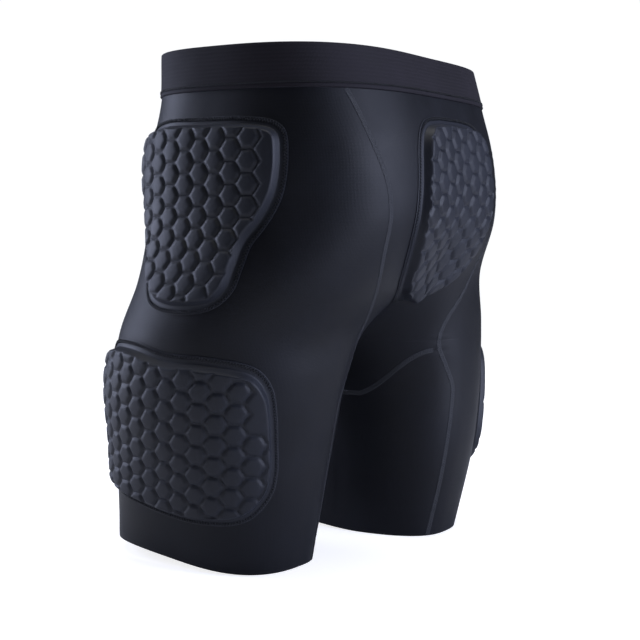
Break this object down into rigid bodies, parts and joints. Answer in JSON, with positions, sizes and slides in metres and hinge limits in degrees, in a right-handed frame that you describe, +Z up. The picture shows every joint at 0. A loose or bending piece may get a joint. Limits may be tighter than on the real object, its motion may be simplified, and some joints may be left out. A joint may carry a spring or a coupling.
{
  "type": "padded impact shorts",
  "caption": "Close-fitting padded shorts with a wide waistband and hexagonal-cell foam pads over the hips, outer thighs and tailbone, stored in worn shape.",
  "frame": {"origin": "on the floor the hems stand on, under the middle of the garment's bounding box", "axes": "+Z up from the hems to the waistband, -Y the way the wearer faces, +X the wearer's left"},
  "size_m": [0.4144, 0.3139, 0.461],
  "materials": {
    "knit": "black stretch knit with a soft satin sheen",
    "waistband_elastic": "matte woven elastic, dark grey with a faint purple cast",
    "waistband_facing": "brushed matte elastic",
    "pad_cover": "smooth stretch facing moulded over foam, satin",
    "pad_foam": "closed-cell foam, matte",
    "thread": "black polyester thread",
    "hem_tape": "thin bonded elastic tape, matte"
  },
  "bodies": {
    "root": {"back_panel": "knit", "front_panel": "knit", "left_side_panel": "knit", "left_inner_thigh_panel": "knit", "left_hem_tape": "hem_tape", "left_back_seam": "thread", "left_front_seam": "thread", "left_gusset_seam": "thread", "left_hip_pad_foam": "pad_foam", "left_hip_pad_cover": "pad_cover", "left_hip_pad_stitching": "thread", "left_thigh_pad_foam": "pad_foam", "left_thigh_pad_cover": "pad_cover", "left_thigh_pad_stitching": "thread", "right_side_panel": "knit", "right_inner_thigh_panel": "knit", "right_hem_tape": "hem_tape", "right_back_seam": "thread", "right_front_seam": "thread", "right_gusset_seam": "thread", "right_hip_pad_foam": "pad_foam", "right_hip_pad_cover": "pad_cover", "right_hip_pad_stitching": "thread", "right_thigh_pad_foam": "pad_foam", "right_thigh_pad_cover": "pad_cover", "right_thigh_pad_stitching": "thread", "crotch_seam": "thread", "tailbone_pad_foam": "pad_foam", "tailbone_pad_cover": "pad_cover", "tailbone_pad_stitching": "thread", "waistband": "waistband_elastic", "waistband_facing": "waistband_facing", "waistband_stitching": "thread"}
  },
  "joints": []
}
